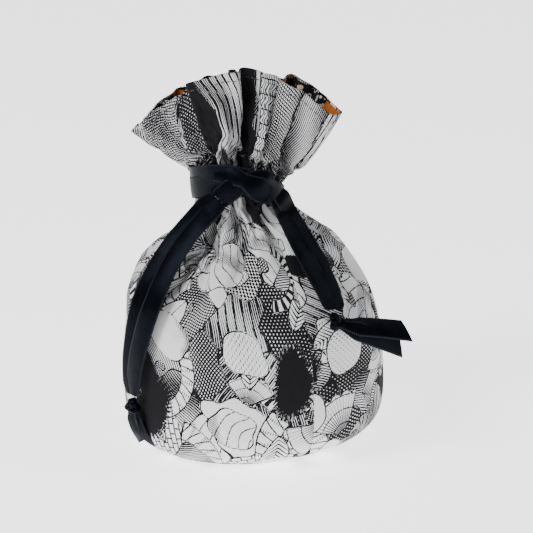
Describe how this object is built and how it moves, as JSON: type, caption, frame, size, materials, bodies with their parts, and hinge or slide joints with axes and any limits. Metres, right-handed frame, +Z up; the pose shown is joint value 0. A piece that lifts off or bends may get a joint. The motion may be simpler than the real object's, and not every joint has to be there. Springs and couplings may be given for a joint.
{
  "type": "drawstring treat pouch",
  "caption": "Round-based lined cotton pouch with a gathered ruffle mouth, closed at the neck by satin drawstring ribbons that hang down knotted at each side.",
  "frame": {"origin": "middle of the flat base, on the surface that the pouch stands on", "axes": "+Z up through the pouch, -Y towards the front, +X to the right seen from the front"},
  "size_m": [0.1443, 0.13, 0.1974],
  "materials": {
    "printed_cotton": "plain-weave quilting cotton, white with a black ink-drawn print, matt",
    "lining_cotton": "plain-weave cotton, black with orange leaves, cream patches and small rings, matt",
    "satin_ribbon": "black double-faced satin with a picot edge, soft sheen",
    "sewing_thread": "black polyester thread"
  },
  "bodies": {
    "pouch": {"outer_front_panel": "printed_cotton", "outer_back_panel": "printed_cotton", "outer_base": "printed_cotton", "lining_front_panel": "lining_cotton", "lining_back_panel": "lining_cotton", "lining_base": "lining_cotton", "side_seam_stitches": "sewing_thread", "base_seam_stitches": "sewing_thread", "casing_stitches_upper": "sewing_thread", "casing_stitches_lower": "sewing_thread", "left_ribbon_loop": "satin_ribbon", "right_ribbon_loop": "satin_ribbon", "neck_band": "satin_ribbon", "ribbon_half_knot": "satin_ribbon"},
    "ruffle": {"outer_front_ruffle": "printed_cotton", "outer_back_ruffle": "printed_cotton", "lining_front_ruffle": "lining_cotton", "lining_back_ruffle": "lining_cotton", "rim_stitches": "sewing_thread"},
    "left_strands": {"left_strand_inner": "satin_ribbon", "left_strand_outer": "satin_ribbon"},
    "left_ends": {"left_knot": "satin_ribbon", "left_tail_front": "satin_ribbon", "left_tail_back": "satin_ribbon"},
    "right_strands": {"right_strand_inner": "satin_ribbon", "right_strand_outer": "satin_ribbon"},
    "right_ends": {"right_knot": "satin_ribbon", "right_tail_upper": "satin_ribbon", "right_tail_lower": "satin_ribbon"}
  },
  "joints": [
    {"name": "ruffle_nod", "type": "hinge", "parent": "pouch", "child": "ruffle", "pos_m": [-0.0085, 0, 0.136], "axis": [1, 0, 0], "range_deg": [-12, 12]},
    {"name": "left_strands_swing", "type": "hinge", "parent": "pouch", "child": "left_strands", "pos_m": [-0.02872, -0.01725, 0.128], "axis": [-0.515, 0.8572, 0], "range_deg": [0, 60]},
    {"name": "left_ends_swing", "type": "hinge", "parent": "left_strands", "child": "left_ends", "pos_m": [-0.06017, -0.03616, 0.026], "axis": [-0.515, 0.8572, 0], "range_deg": [0, 70]},
    {"name": "right_strands_swing", "type": "hinge", "parent": "pouch", "child": "right_strands", "pos_m": [0.01219, -0.0171, 0.13], "axis": [-0.8141, -0.5807, 0], "range_deg": [0, 60]},
    {"name": "right_ends_swing", "type": "hinge", "parent": "right_strands", "child": "right_ends", "pos_m": [0.04059, -0.05691, 0.0785], "axis": [0.5807, -0.8141, 0], "range_deg": [0, 45]}
  ]
}
